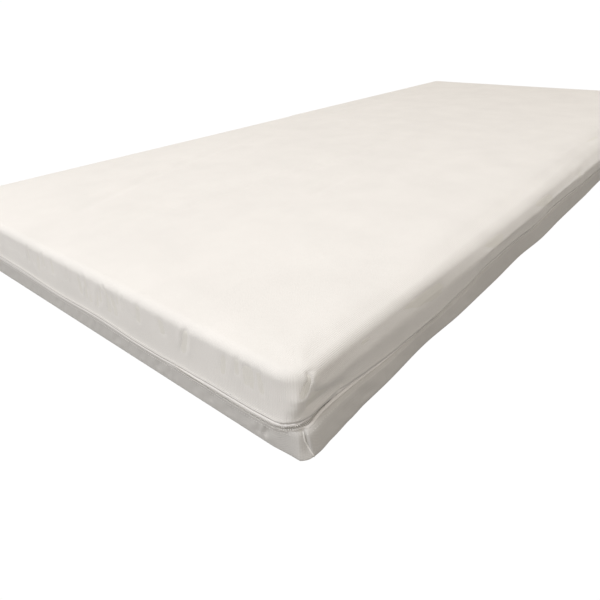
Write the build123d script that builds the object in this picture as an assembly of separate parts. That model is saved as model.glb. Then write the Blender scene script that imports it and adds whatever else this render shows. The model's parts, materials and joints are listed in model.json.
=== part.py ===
from build123d import *
import os

# Pressure relief foam mattress in a zipped two-part cover. Millimetres. The origin is the centre of
# the underside, +X runs from the foot end to the head end, +Z is up. "Inset" is always the distance
# in from the cover's outermost upright face.

# Outside of the cover
LENGTH = 2000.0
WIDTH = 900.0
HEIGHT = 100.0
CORNER_RADIUS = 32.0
TOP_EDGE_RADIUS = 16.0
BASE_EDGE_RADIUS = 6.0
CLOTH = 1.2
BASE_INSET = 1.0
OVERCUT = 1.0

# Zip, round the whole mattress at one height
ZIP_HEIGHT = 26.0
ZIP_INSET = 6.2
COIL_RADIUS = 1.1
COIL_OFFSET = 2.0
TAPE_THICKNESS = 0.6
TAPE_EDGE = 0.9
TAPE_REACH = 16.0
COIL_BREAK = 8.0
HEM_OFFSET = 7.8
HEM_RETURN = ZIP_INSET + COIL_RADIUS
WELT_RADIUS = 1.6
WELT_INSET = 1.8
WELT_OFFSET = HEM_OFFSET - WELT_RADIUS
WELT_BUTT_GAP = 0.5

# Corner seams, inside each cover
SEAM_THICKNESS = 0.8
SEAM_ANGLE = 18.0
TOP_SEAM_LOW = 36.0
TOP_SEAM_HIGH = 80.0
BASE_SEAM_LOW = 7.0
BASE_SEAM_HIGH = 16.5

# End stops and the tab over them, at the middle of the head end
STOP_LENGTH = 2.9
STOP_DEPTH = 2.1
STOP_HALF_HEIGHT = 3.2
STOP_EDGE_RADIUS = 0.6
STOP_CLEARANCE = 0.1
TAB_WIDTH = 40.0
TAB_THICKNESS = 1.0
TAB_HALF_HEIGHT = 7.6
TAB_INSET = 3.8
TAB_CORNER_RADIUS = 2.5

# Liner sleeve: narrow behind the zip, full width above the step
LINER = 0.8
STEP_HEIGHT = 46.0
LINER_LOW = 1.6
LINER_HIGH = 98.4
LINER_LOW_INSET = 10.0
LINER_HIGH_INSET = 2.4
LINER_EDGE_RADIUS = 14.0

# Foam
SLAB_INSET = 11.2
SLAB_LOW = 2.8
SLAB_HIGH = 47.0
CROWN_INSET = 3.6
CROWN_LOW = 47.2
CROWN_HIGH = 97.2
CROWN_EDGE_RADIUS = 13.0
BOLSTER_WIDTH = 62.0
FOAM_GAP = 0.3
CELL_PITCH = 70.0
SLIT_WIDTH = 4.0
SLIT_DEPTH = 34.0
HEAD_ZONE_LENGTH = 420.0
HEEL_ZONE_LENGTH = 490.0
PROFILE_CUTS = (-420.0, -350.0, -280.0, 120.0, 190.0, 260.0)
PROFILE_CUT_DEPTH = 24.0

# Zip slider: its plates lie in front of and behind the tape, joined by the divider in its nose
SLIDER_LENGTH = 13.0
SLIDER_WIDTH = 8.8
SLIDER_PLATE = 1.0
SLIDER_CORNER = 2.2
FRONT_PLATE = 1.5
BACK_PLATE = -3.1
FLANGE_INNER = 3.5
FLANGE_BACK = -0.7
FLANGE_LENGTH = 9.5
DIVIDER_LENGTH = 3.6
DIVIDER_WIDTH = 1.2
DIVIDER_CENTRE = 4.2
DIVIDER_EDGE_RADIUS = 0.55
SLIDER_REST = 11.0
BRIDGE_SPAN = 8.0
BRIDGE_WIDTH = 1.6
BRIDGE_BAR = 1.0
BRIDGE_HEIGHT = 3.0
BRIDGE_EDGE = 0.8

# Pull tab, measured from its pivot under the bridge
PIVOT_OFFSET = 3.5
PULL_LENGTH = 20.0
PULL_WIDTH = 5.6
PULL_THICKNESS = 1.2
PULL_BAR_RADIUS = 0.6
PULL_TIP_RADIUS = 2.0
PULL_WINDOW = 5.1
PULL_WINDOW_WIDTH = 2.4
PULL_HOLE_RADIUS = 1.4


def block(inset, low, high):
    """An upright block with rounded corners, set in from the cover's outer face."""
    outline = RectangleRounded(LENGTH - 2 * inset, WIDTH - 2 * inset, CORNER_RADIUS - inset)
    return Pos(0, 0, low) * extrude(outline, high - low)


def rounded_top(solid, radius):
    return fillet(solid.edges().group_by(Axis.Z)[-1], radius)


def rounded_bottom(solid, radius):
    return fillet(solid.edges().group_by(Axis.Z)[0], radius)


def box_between(low, high):
    """A box from its lowest corner to its highest."""
    size = Vector(*high) - Vector(*low)
    centre = (Vector(*high) + Vector(*low)) / 2
    return Pos(centre) * Box(size.X, size.Y, size.Z)


def perimeter_path(inset, height, gap):
    """A loop round the mattress, open at the middle of the head end."""
    x = LENGTH / 2 - inset
    y = WIDTH / 2 - inset
    points = [(x, gap / 2), (x, y), (-x, y), (-x, -y), (x, -y), (x, -gap / 2)]
    return Pos(0, 0, height) * FilletPolyline(*points, radius=CORNER_RADIUS - inset)


def perimeter_cord(radius, inset, height, gap):
    path = perimeter_path(inset, height, gap)
    section = Plane(origin=path @ 0, z_dir=path % 0) * Circle(radius)
    return sweep(section, path)


def cover_top():
    """Top panel and skirt in one piece, turned in at its hem to meet the upper zip tape."""
    hem = ZIP_HEIGHT + HEM_OFFSET
    outside = rounded_top(block(0, hem, HEIGHT), TOP_EDGE_RADIUS)
    inside = rounded_top(block(CLOTH, hem + CLOTH, HEIGHT - CLOTH), TOP_EDGE_RADIUS - CLOTH)
    mouth = block(HEM_RETURN, hem - CLOTH, hem + 2 * CLOTH)
    return outside - inside - mouth


def cover_base():
    """Lower tray, turned in at its hem to meet the lower zip tape."""
    hem = ZIP_HEIGHT - HEM_OFFSET
    outside = rounded_bottom(block(BASE_INSET, 0, hem), BASE_EDGE_RADIUS)
    hollow = block(BASE_INSET + CLOTH, CLOTH, hem - CLOTH)
    inside = rounded_bottom(hollow, BASE_EDGE_RADIUS - CLOTH)
    mouth = block(HEM_RETURN, hem - 2 * CLOTH, hem + CLOTH)
    return outside - inside - mouth


def corner_seams(inset, low, high):
    """A seam tape against the inside of each of the four upright corners."""
    radius = CORNER_RADIUS - inset
    ring = Circle(radius) - Circle(radius - SEAM_THICKNESS)
    reach = 2 * radius
    half_angle = Vector(reach, 0).rotate(Axis.Z, SEAM_ANGLE / 2)
    corners = [(0, 0), (half_angle.X, -half_angle.Y), (half_angle.X, half_angle.Y), (0, 0)]
    wedge = make_face(Polyline(*corners))
    strip = extrude(ring & wedge, high - low)
    seams = []
    for side_x, side_y, turn in ((1, 1, 45), (-1, 1, 135), (-1, -1, 225), (1, -1, 315)):
        x = side_x * (LENGTH / 2 - CORNER_RADIUS)
        y = side_y * (WIDTH / 2 - CORNER_RADIUS)
        seams.append(Pos(x, y, low) * Rot(0, 0, turn) * strip)
    return Compound(children=[solid for seam in seams for solid in seam.solids()])


def zip_tape(side):
    """One tape, a band that stands just behind the coils; side is 1 above and -1 below them."""
    edges = (ZIP_HEIGHT + side * TAPE_EDGE, ZIP_HEIGHT + side * TAPE_REACH)
    outside = block(HEM_RETURN, min(edges), max(edges))
    inside = block(HEM_RETURN + TAPE_THICKNESS, min(edges) - OVERCUT, max(edges) + OVERCUT)
    return outside - inside


def zip_coil(side):
    return perimeter_cord(COIL_RADIUS, ZIP_INSET, ZIP_HEIGHT + side * COIL_OFFSET, COIL_BREAK)


def welt(side):
    return perimeter_cord(WELT_RADIUS, WELT_INSET, ZIP_HEIGHT + side * WELT_OFFSET, WELT_BUTT_GAP)


def zip_end_stops():
    """A moulded block past each end of the chain."""
    front = LENGTH / 2 - HEM_RETURN + STOP_DEPTH
    stops = []
    for side in (1, -1):
        centre_y = side * (COIL_BREAK / 2 - STOP_LENGTH / 2 - STOP_CLEARANCE)
        stop = Box(STOP_DEPTH - STOP_CLEARANCE, STOP_LENGTH, 2 * STOP_HALF_HEIGHT)
        stop = fillet(stop.edges().filter_by(Axis.Y), STOP_EDGE_RADIUS)
        stops.append(Pos(front - STOP_DEPTH / 2, centre_y, ZIP_HEIGHT) * stop)
    return Compound(children=stops)


def zip_end_tab():
    """The cloth tab that covers the stops, between the two hems."""
    tab = Box(TAB_THICKNESS, TAB_WIDTH, 2 * TAB_HALF_HEIGHT)
    tab = fillet(tab.edges().filter_by(Axis.X), TAB_CORNER_RADIUS)
    return Pos(LENGTH / 2 - TAB_INSET - TAB_THICKNESS / 2, 0, ZIP_HEIGHT) * tab


def liner_form(offset, edge_radius):
    """The liner's outer form, or its inner one when set in by the liner's thickness."""
    lower = block(LINER_LOW_INSET + offset, LINER_LOW + offset, STEP_HEIGHT + 2 * CLOTH)
    upper = block(LINER_HIGH_INSET + offset, STEP_HEIGHT + offset, LINER_HIGH - offset)
    return lower + rounded_top(upper, edge_radius)


def liner_sleeve():
    return liner_form(0, LINER_EDGE_RADIUS) - liner_form(LINER, LINER_EDGE_RADIUS - LINER)


def foam_base_slab():
    """Firm slab with cuts across its underside, where a profiling bed bends it."""
    slab = block(SLAB_INSET, SLAB_LOW, SLAB_HIGH)
    half_width = WIDTH / 2
    for x in PROFILE_CUTS:
        low = (x - SLIT_WIDTH / 2, -half_width, SLAB_LOW - OVERCUT)
        high = (x + SLIT_WIDTH / 2, half_width, SLAB_LOW + PROFILE_CUT_DEPTH)
        slab -= box_between(low, high)
    return slab


def crown_piece(low_x, high_x, low_y, high_y):
    """A stretch of the upper foam layer, cut out of its full rounded form."""
    crown = rounded_top(block(CROWN_INSET, CROWN_LOW, CROWN_HIGH), CROWN_EDGE_RADIUS)
    return crown & box_between((low_x, low_y, 0), (high_x, high_y, HEIGHT))


def well_half_length():
    return LENGTH / 2 - CROWN_INSET - BOLSTER_WIDTH


def well_half_width():
    return WIDTH / 2 - CROWN_INSET - BOLSTER_WIDTH


def side_bolster(side):
    inner = well_half_width() + FOAM_GAP
    edges = (side * inner, side * WIDTH / 2)
    return crown_piece(-LENGTH / 2, LENGTH / 2, min(edges), max(edges))


def end_bolster(side):
    inner = well_half_length() + FOAM_GAP
    edges = (side * inner, side * LENGTH / 2)
    return crown_piece(min(edges), max(edges), -well_half_width(), well_half_width())


def slit_places(low, high):
    """Middles of the slits that divide a stretch into cells of about the usual pitch."""
    count = round((high - low) / CELL_PITCH)
    return [low + i * (high - low) / count for i in range(1, count)]


def castellated_zone(low_x, high_x):
    """An insert whose upper part is slit both ways into separate cells on one uncut web."""
    half_width = well_half_width() - FOAM_GAP
    zone = crown_piece(low_x, high_x, -half_width, half_width)
    floor = CROWN_HIGH - SLIT_DEPTH
    half_slit = SLIT_WIDTH / 2
    lengthwise = [
        box_between((low_x - OVERCUT, y - half_slit, floor), (high_x + OVERCUT, y + half_slit, HEIGHT))
        for y in slit_places(-half_width, half_width)
    ]
    crosswise = [
        box_between((x - half_slit, -WIDTH / 2, floor), (x + half_slit, WIDTH / 2, HEIGHT))
        for x in slit_places(low_x, high_x)
    ]
    return zone - lengthwise - crosswise


def at_chain(solid, x):
    """Places a slider piece, made about the chain's centre line, on the +Y side."""
    return Pos(x, WIDTH / 2 - ZIP_INSET, ZIP_HEIGHT) * solid


def slider_plate(front):
    outline = Plane.XZ * RectangleRounded(SLIDER_LENGTH, SLIDER_WIDTH, SLIDER_CORNER)
    return Pos(0, front + SLIDER_PLATE, 0) * extrude(outline, SLIDER_PLATE)


def slider_body(side):
    """Two plates with side flanges, a divider in the nose, and the bridge that holds the pull."""
    body = slider_plate(FRONT_PLATE) + slider_plate(BACK_PLATE)
    half_length = FLANGE_LENGTH / 2
    half_width = SLIDER_WIDTH / 2
    for low, high in ((FLANGE_INNER, half_width), (-half_width, -FLANGE_INNER)):
        body += box_between((-half_length, FLANGE_BACK, low), (half_length, FRONT_PLATE, high))
    divider = Box(DIVIDER_LENGTH, FRONT_PLATE - BACK_PLATE - SLIDER_PLATE, DIVIDER_WIDTH)
    divider = fillet(divider.edges().filter_by(Axis.Y), DIVIDER_EDGE_RADIUS)
    middle = (FRONT_PLATE + BACK_PLATE + SLIDER_PLATE) / 2
    body += Pos(-side * DIVIDER_CENTRE, middle, 0) * divider
    deck = FRONT_PLATE + SLIDER_PLATE
    half_span = BRIDGE_SPAN / 2
    half_bridge = BRIDGE_WIDTH / 2
    bridge = box_between((-half_span, deck, -half_bridge), (half_span, deck + BRIDGE_HEIGHT, half_bridge))
    bridge = fillet(bridge.edges().group_by(Axis.Y)[-1].filter_by(Axis.Z), BRIDGE_EDGE)
    window = box_between(
        (-half_span + BRIDGE_BAR, deck - OVERCUT / 2, -half_bridge - OVERCUT),
        (half_span - BRIDGE_BAR, deck + BRIDGE_HEIGHT - BRIDGE_BAR, half_bridge + OVERCUT),
    )
    return at_chain(body + (bridge - window), side * SLIDER_REST)


def slider_pull(side):
    """A flat tab whose round end bar turns under the bridge; it lies along the closed chain."""
    outline = Pos(PULL_LENGTH / 2, 0) * Rectangle(PULL_LENGTH, PULL_WIDTH)
    outline = fillet(outline.vertices().group_by(Axis.X)[-1], PULL_TIP_RADIUS)
    window = Pos(PULL_WINDOW / 2, 0) * Rectangle(PULL_WINDOW, PULL_WINDOW_WIDTH)
    hole = Pos(PULL_LENGTH - PULL_WIDTH / 2, 0) * Circle(PULL_HOLE_RADIUS)
    tab = extrude(Plane.XZ * (outline - window - hole), PULL_THICKNESS / 2, both=True)
    tab += Cylinder(PULL_BAR_RADIUS, PULL_WIDTH)
    tab = Rot(0, 0, 0 if side > 0 else 180) * tab
    return at_chain(Pos(0, PIVOT_OFFSET, 0) * tab, side * SLIDER_REST)


def build_nodes():
    well = well_half_length() - FOAM_GAP
    head_zone = well - HEAD_ZONE_LENGTH
    heel_zone = -well + HEEL_ZONE_LENGTH
    return {
        "cover_top": cover_top(),
        "cover_base": cover_base(),
        "top_corner_seams": corner_seams(CLOTH, TOP_SEAM_LOW, TOP_SEAM_HIGH),
        "base_corner_seams": corner_seams(BASE_INSET + CLOTH, BASE_SEAM_LOW, BASE_SEAM_HIGH),
        "flap_welt": welt(1),
        "base_welt": welt(-1),
        "zip_tape_upper": zip_tape(1),
        "zip_tape_lower": zip_tape(-1),
        "zip_coil_upper": zip_coil(1),
        "zip_coil_lower": zip_coil(-1),
        "zip_end_stops": zip_end_stops(),
        "zip_end_tab": zip_end_tab(),
        "liner_sleeve": liner_sleeve(),
        "foam_base_slab": foam_base_slab(),
        "side_bolster_left": side_bolster(1),
        "side_bolster_right": side_bolster(-1),
        "head_bolster": end_bolster(1),
        "foot_bolster": end_bolster(-1),
        "head_zone_cells": castellated_zone(head_zone + FOAM_GAP, well),
        "torso_zone_cells": castellated_zone(heel_zone, head_zone),
        "heel_zone_cells": castellated_zone(-well, heel_zone - FOAM_GAP),
        "head_slider_body": slider_body(1),
        "head_slider_pull": slider_pull(1),
        "foot_slider_body": slider_body(-1),
        "foot_slider_pull": slider_pull(-1),
    }


os.makedirs("parts", exist_ok=True)
for name, solid in build_nodes().items():
    export_step(solid, f"parts/{name}.step")
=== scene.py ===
"""Pressure relief mattress: a zipped two-part cover, its piping, zip and foam core, around a fixed frame.

Metres. The origin is the centre of the underside, +X runs from the foot end to the head end and +Z is up.
"Inset" is the distance in from the cover's outermost upright face. "Along" is the distance along the wall
from the corner at the foot end's right hand: above zero up the right side, below zero across the foot end.
"""

import json
import math

import bmesh
import bpy
import numpy as np
from mathutils import Matrix, Vector
from mathutils.bvhtree import BVHTree


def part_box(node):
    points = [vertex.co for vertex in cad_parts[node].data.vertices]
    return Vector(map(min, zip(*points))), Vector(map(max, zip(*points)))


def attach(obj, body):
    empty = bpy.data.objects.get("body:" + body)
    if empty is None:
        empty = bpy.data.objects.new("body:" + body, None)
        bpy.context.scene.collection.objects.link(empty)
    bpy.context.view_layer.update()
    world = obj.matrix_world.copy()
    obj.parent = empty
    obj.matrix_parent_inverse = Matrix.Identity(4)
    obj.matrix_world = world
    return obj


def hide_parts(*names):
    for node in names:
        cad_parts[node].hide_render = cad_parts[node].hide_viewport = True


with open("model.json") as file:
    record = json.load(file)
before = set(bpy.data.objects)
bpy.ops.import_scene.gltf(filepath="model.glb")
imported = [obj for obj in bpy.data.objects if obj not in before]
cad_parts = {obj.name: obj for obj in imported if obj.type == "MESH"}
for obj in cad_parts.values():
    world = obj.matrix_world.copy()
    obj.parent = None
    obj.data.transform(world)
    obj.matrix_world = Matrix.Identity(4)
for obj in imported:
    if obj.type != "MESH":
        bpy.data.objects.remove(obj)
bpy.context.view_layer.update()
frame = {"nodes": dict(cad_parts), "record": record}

bl_info = {
    "name": "Pressure Relief Mattress",
    "version": (1, 0, 0),
    "blender": (4, 5, 0),
    "location": "View3D > Sidebar > Mattress",
    "description": "Builds a zipped mattress cover with its piping, zip, liner and foam core",
    "category": "Add Mesh",
}

BODY = "mattress"
MM = 0.001

# Taken from the frame
COVER_LOW, COVER_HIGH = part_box("cover_top")
BASE_LOW, BASE_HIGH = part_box("cover_base")
HALF_LENGTH = COVER_HIGH.x
HALF_WIDTH = COVER_HIGH.y
HEIGHT = COVER_HIGH.z
TOP_HEM = COVER_LOW.z
BASE_HEM = BASE_HIGH.z
BASE_INSET = HALF_LENGTH - BASE_HIGH.x
COIL_LOW, COIL_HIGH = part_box("zip_coil_upper")
COIL_RADIUS = (COIL_HIGH.z - COIL_LOW.z) / 2
ZIP_INSET = HALF_WIDTH - COIL_HIGH.y + COIL_RADIUS
ZIP_HEIGHT = (TOP_HEM + BASE_HEM) / 2
COIL_OFFSET = (COIL_LOW.z + COIL_HIGH.z) / 2 - ZIP_HEIGHT
CORNER_RADIUS = 32 * MM
CENTRE_X = HALF_LENGTH - CORNER_RADIUS
CENTRE_Y = HALF_WIDTH - CORNER_RADIUS
CORNERS = ((-1, -1), (1, -1), (-1, 1), (1, 1))

# How the settled cover differs from its flat pattern: (along, value) stops, eased from one to the next.
# Height of the zip line. The left side and the head end keep the pattern's height.
ZIP_LINE = (
    (-0.87, 26), (-0.72, 36), (-0.60, 35.5), (-0.465, 32), (-0.354, 34), (-0.26, 31), (-0.20, 31.5),
    (-0.163, 31), (-0.10, 30.6), (-0.067, 30.8), (-0.038, 32.4), (0.00, 37), (0.064, 38), (0.193, 31),
    (0.286, 30), (0.367, 33.5), (0.445, 41), (0.55, 41), (0.65, 38), (0.77, 43), (1.00, 38), (1.20, 39),
    (1.45, 34), (1.70, 34), (1.95, 26),
)
# How far the flap hangs down over the zip
FLAP_DROP = (
    (-0.87, 0), (-0.80, 7), (-0.22, 8), (-0.163, 5), (-0.115, 3.1), (-0.04, 3.1), (0.00, 3.4), (0.07, 9),
    (1.90, 9), (1.95, 0),
)
# How far the base cover's hem stands up towards the zip
BASE_RISE = (
    (-0.87, 0), (-0.80, 3), (-0.17, 3), (-0.11, 2.3), (-0.04, 2.3), (0.00, 2.8), (1.90, 3), (1.95, 0),
)
# How far the zip itself stands out of its channel
ZIP_OUT = ((-0.26, 0), (-0.17, 6.4), (0.02, 6.4), (0.07, 0))
# How far the right side stands out above the zip, and how far its upper edge leans back in
SIDE_BULGE = ((0.20, 0), (0.48, 4), (1.00, 2.5), (1.80, 2), (1.96, 0))
SIDE_LEAN = ((0.20, 0), (0.48, 13), (0.66, 14), (1.00, 18), (1.80, 12), (1.96, 0))
# How far the foot end stands out at the zip
END_BULGE = ((-0.86, 0), (-0.72, 2), (-0.05, 2), (0.00, 1), (0.03, 0))
# How far the flap and the base cover's hem are tucked in along the right side
FLAP_TUCK = ((-0.02, 0), (0.012, 5.5), (0.05, 6), (0.12, 4.5), (0.30, 3), (0.50, 1.5), (1.80, 1), (1.95, 0))
HEM_TUCK = ((0.00, 0), (0.05, 3.5), (0.20, 3.5), (0.45, 4), (1.00, 4), (1.80, 3), (1.95, 0))
# How far the piping is drawn in behind the flap along the right side
PIPING_TUCK = ((0.0, 0), (0.06, 0.7), (1.85, 0.7), (1.95, 0))
# How much of the corners' flare shows, by height
FLARE_SHARE = ((0.003, 1.0), (0.025, 0.4), (0.036, 0.4), (0.050, 0.65), (0.062, 0.6), (0.094, 0))
# How far the bottom edge is pulled in; near the corner's dart it stands out
BOTTOM_PULL = (
    (-0.87, 0), (-0.80, -0.8), (-0.04, -0.8), (-0.01, 0.8), (0.013, -6.2), (0.024, -6.4),
    (0.045, -4.8), (0.08, -3), (0.11, -1.5), (0.143, -1.5), (0.255, 2.0), (0.354, -1.5), (0.47, -1.0),
    (0.59, 1.2), (0.70, -3), (0.83, -0.8), (0.96, -0.5), (1.15, 2.0), (1.30, 0), (1.50, 2.0),
    (1.70, 0), (1.95, 0),
)
# How far the upper edge is pressed down, and how far it is pressed in
EDGE_DOWN = (
    (-0.90, 3), (-0.70, 1), (-0.03, 0), (0.02, 1), (0.12, 5.5), (0.30, 6.5), (0.48, 8), (0.80, 8),
    (1.00, 9), (1.80, 6), (1.96, 2),
)
EDGE_IN = (
    (-0.90, 3), (-0.70, 1), (-0.03, 0), (0.02, 1), (0.12, 6), (0.30, 4), (0.45, 0.5), (0.64, 0),
    (0.80, 1.5), (1.00, 5), (1.80, 3), (1.96, 2),
)
# Where the pressing at the upper edge is centred, in from both faces, and how wide it is, in millimetres
EDGE_DEPTH = 4
EDGE_WIDTH = 17 * math.sqrt(2)
# The base cover's corner dart: how far it stands out, how deep the cloth sinks beside it, and its line
CORNER_FLARE = 10 * MM
DART_RECESS = 5.0 * MM
DART_HEIGHTS = (0, 12 * MM, 21 * MM, 28 * MM)
DART_PLACES = (35.5 * MM, 31.5 * MM, 28.5 * MM, 28.0 * MM)


def ease(t):
    t = np.clip(t, 0, 1)
    return t * t * (3 - 2 * t)


def eased(places, stops):
    """The value at each place, easing between (place, value) stops. Values are in millimetres."""
    at = np.array([stop[0] for stop in stops])
    value = np.array([stop[1] for stop in stops], float) * MM
    k = np.clip(np.searchsorted(at, places) - 1, 0, len(at) - 2)
    return value[k] + (value[k + 1] - value[k]) * ease((places - at[k]) / (at[k + 1] - at[k]))


def band(z, low, rise, high, fall):
    """One between two places: eases in over rise from low, and out over fall from high, in millimetres."""
    return ease((z / MM - low) / rise) * (1 - ease((z / MM - high) / fall))


def bell(z, centre, width):
    """A Gaussian bump, in millimetres."""
    return np.exp(-(((z / MM - centre) / width) ** 2))


def past_corner(x, y):
    """How far each point lies past the start of the round corner, along X and along Y."""
    return np.maximum(np.abs(x) - CENTRE_X, 0), np.maximum(np.abs(y) - CENTRE_Y, 0)


def wall(points):
    """Each point's inset, outward plan normal and distance along the wall."""
    x, y = points[:, 0], points[:, 1]
    u, v = past_corner(x, y)
    corner = (u > 0) & (v > 0)
    radial = np.where(corner, np.hypot(u, v), 1)
    gap_x = HALF_LENGTH - np.abs(x)
    gap_y = HALF_WIDTH - np.abs(y)
    end = gap_x < gap_y
    inset = np.where(corner, CORNER_RADIUS - radial, np.where(end, gap_x, gap_y))
    normal_x = np.where(corner, u / radial, end) * np.sign(x)
    normal_y = np.where(corner, v / radial, ~end) * np.sign(y)
    turn = np.arctan2(v, np.maximum(u, 1e-9)) / (math.pi / 2)
    side_place = x + HALF_LENGTH
    foot_place = -(y + HALF_WIDTH)
    along = np.where(end, foot_place, side_place)
    near_corner = corner & (x < 0) & (y < 0)
    along = np.where(near_corner, CORNER_RADIUS * (2 * turn - 1), along)
    plain = ((y > 0) & ~end) | ((x > 0) & end) | (corner & ((x > 0) | (y > 0)))
    along = np.where(plain & (x > 0), 2 * HALF_LENGTH, along)
    along = np.where(plain & (x <= 0), -2 * HALF_WIDTH, along)
    return inset, np.stack([normal_x, normal_y], 1), along


def settle(points):
    """Moves points from the flat pattern to the settled shape, as one field that keeps layers nested."""
    points = np.array(points, float)
    inset, normal, along = wall(points)
    z = points[:, 2]
    near_wall = 1 - ease((inset - 12 * MM) / (20 * MM))
    rise = (eased(along, ZIP_LINE) - ZIP_HEIGHT) * band(z, 2, 14, 42, 36)
    rise += eased(along, BASE_RISE) * band(z, 8, 9, 19.5, 3)
    above_hem = np.maximum(z - TOP_HEM, 0)
    inward = eased(along, FLAP_TUCK) * bell(above_hem, 0, 23) * ease((z - 14 * MM) / (8 * MM))
    inward += eased(along, HEM_TUCK) * band(z, 1, 20, 26, 16)
    around_zip = np.minimum(z / ZIP_HEIGHT, 1) * (1 - ease((z - ZIP_HEIGHT) / (68 * MM)))
    inward -= eased(along, END_BULGE) * around_zip
    inward -= eased(along, SIDE_BULGE) * ease((z - 20 * MM) / (58 * MM))
    inward += eased(along, BOTTOM_PULL) * (1 - ease(z / (30 * MM)))
    past_dart = dart_distance(points)
    recess = np.clip(1 + past_dart / (13 * MM), 0, 1) ** 1.3 * (1 - ease(past_dart / (2.5 * MM)))
    inward += DART_RECESS * recess * band(z, 0, 9, 17, 8)
    inward -= corner_flare(points) * eased(z, FLARE_SHARE) / MM
    out = eased(along, ZIP_OUT) * band(inset, 1.2, 3.5, 9, 6) * bell(z - ZIP_HEIGHT, 0, 14)
    at_edge = bell(inset, EDGE_DEPTH, EDGE_WIDTH) * bell(HEIGHT - z, EDGE_DEPTH, EDGE_WIDTH)
    upper = np.clip((z - 45 * MM) / (HEIGHT - 45 * MM), 0, 1)
    inward = inward * near_wall - out + eased(along, EDGE_IN) * at_edge
    inward += eased(along, SIDE_LEAN) * upper**2 * (1 - ease((inset - 4 * MM) / (75 * MM)))
    points[:, :2] -= normal * inward[:, None]
    points[:, 2] += rise * near_wall - eased(along, EDGE_DOWN) * at_edge
    return points


def dart_distance(points):
    """Distance along the wall from the nearest corner's dart, below zero on the end's side of it."""
    x, y = np.abs(points[:, 0]), np.abs(points[:, 1])
    gap_u = x - CENTRE_X
    gap_v = y - CENTRE_Y
    turn = np.arctan2(np.maximum(gap_v, 0), np.maximum(gap_u, 1e-9))
    place = CORNER_RADIUS * turn + np.where(gap_v > 0, np.maximum(-gap_u, 0), np.minimum(gap_v, 0))
    return place - np.interp(points[:, 2], DART_HEIGHTS, DART_PLACES)


def corner_flare(points):
    """How far the base cover's dart stands out past the round corner, towards a square one."""
    u, v = past_corner(points[:, 0], points[:, 1])
    radial = np.maximum(np.hypot(u, v), 1e-9)
    widest = np.maximum(np.maximum(u, v) / radial, 0.5)
    to_square = CORNER_RADIUS * (1 / widest - 1)
    return CORNER_FLARE * np.tanh(to_square / CORNER_FLARE) * ((u > 0) & (v > 0))


def drop_flap(points, along):
    """Lets the top cover's lower edge hang down over the zip."""
    reach = 1 - ease((points[:, 2] - 34 * MM) / (34 * MM))
    points[:, 2] -= eased(along, FLAP_DROP) * reach
    return points


def loop_path(inset, step, gap=0.0):
    """Points round the mattress at one inset, from the middle of the head end, anticlockwise from above."""
    radius = CORNER_RADIUS - inset
    length, width = CENTRE_X, CENTRE_Y
    arc = radius * math.pi / 2
    runs = [width - gap / 2, arc, 2 * length, arc, 2 * width, arc, 2 * length, arc, width - gap / 2]
    starts = np.concatenate([[0], np.cumsum(runs)])
    count = max(8, round(starts[-1] / step))
    place = np.linspace(0, starts[-1], count + 1)
    run = np.clip(np.searchsorted(starts, place, side="right") - 1, 0, len(runs) - 1)
    part = place - starts[run]
    points = np.zeros((count + 1, 2))
    corners = [(length, width), (-length, width), (-length, -width), (length, -width)]
    straights = [
        ((HALF_LENGTH - inset, gap / 2), (0, 1)),
        ((length, HALF_WIDTH - inset), (-1, 0)),
        ((inset - HALF_LENGTH, width), (0, -1)),
        ((-length, inset - HALF_WIDTH), (1, 0)),
        ((HALF_LENGTH - inset, -width), (0, 1)),
    ]
    for k in range(len(runs)):
        here = run == k
        if k % 2 == 0:
            start, direction = straights[k // 2]
            points[here] = np.array(start) + part[here][:, None] * np.array(direction)
        else:
            angle = (k // 2) * math.pi / 2 + part[here] / radius
            points[here] = np.array(corners[k // 2]) + radius * np.stack([np.cos(angle), np.sin(angle)], 1)
    return points


# --- meshes ---------------------------------------------------------------------------------------


def get_points(mesh, attribute="co"):
    values = np.empty(len(mesh.vertices) * 3)
    mesh.vertices.foreach_get(attribute, values)
    return values.reshape(-1, 3)


def set_points(mesh, points):
    mesh.vertices.foreach_set("co", np.asarray(points, np.float32).ravel())
    mesh.update()


def to_object(bm, name, smooth=True):
    mesh = bpy.data.meshes.new(name)
    bm.to_mesh(mesh)
    bm.free()
    for polygon in mesh.polygons:
        polygon.use_smooth = smooth
    piece = bpy.data.objects.new(name, mesh)
    bpy.context.scene.collection.objects.link(piece)
    return piece


def apply_modifiers(piece):
    """Bakes the piece's live modifiers into its mesh."""
    bpy.context.view_layer.update()
    evaluated = piece.evaluated_get(bpy.context.evaluated_depsgraph_get())
    mesh = bpy.data.meshes.new_from_object(evaluated)
    old = piece.data
    piece.modifiers.clear()
    piece.data = mesh
    bpy.data.meshes.remove(old)
    mesh.name = piece.name


def subdivide(piece):
    modifier = piece.modifiers.new("Smooth", "SUBSURF")
    modifier.levels = 1
    modifier.render_levels = 1
    apply_modifiers(piece)


def thicken(piece, thickness, offset):
    modifier = piece.modifiers.new("Thickness", "SOLIDIFY")
    modifier.thickness = thickness
    modifier.offset = offset


def push_in(piece, amount):
    """Moves each point in from the wall by the amount: one for all, or one each."""
    points = get_points(piece.data)
    _, normal, _ = wall(points)
    points[:, :2] -= normal * np.reshape(amount, (-1, 1))
    set_points(piece.data, points)


def spaced_lines(low, high, spacing, count):
    """Grid lines from low to high, as dense as the (share, spacing) stops ask."""
    share = np.linspace(0, 1, 2000)
    density = 1 / np.interp(share, [stop[0] for stop in spacing], [stop[1] for stop in spacing])
    total = np.concatenate([[0], np.cumsum((density[1:] + density[:-1]) / 2)])
    return low + (high - low) * np.interp(np.linspace(0, total[-1], count), total, share)


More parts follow.
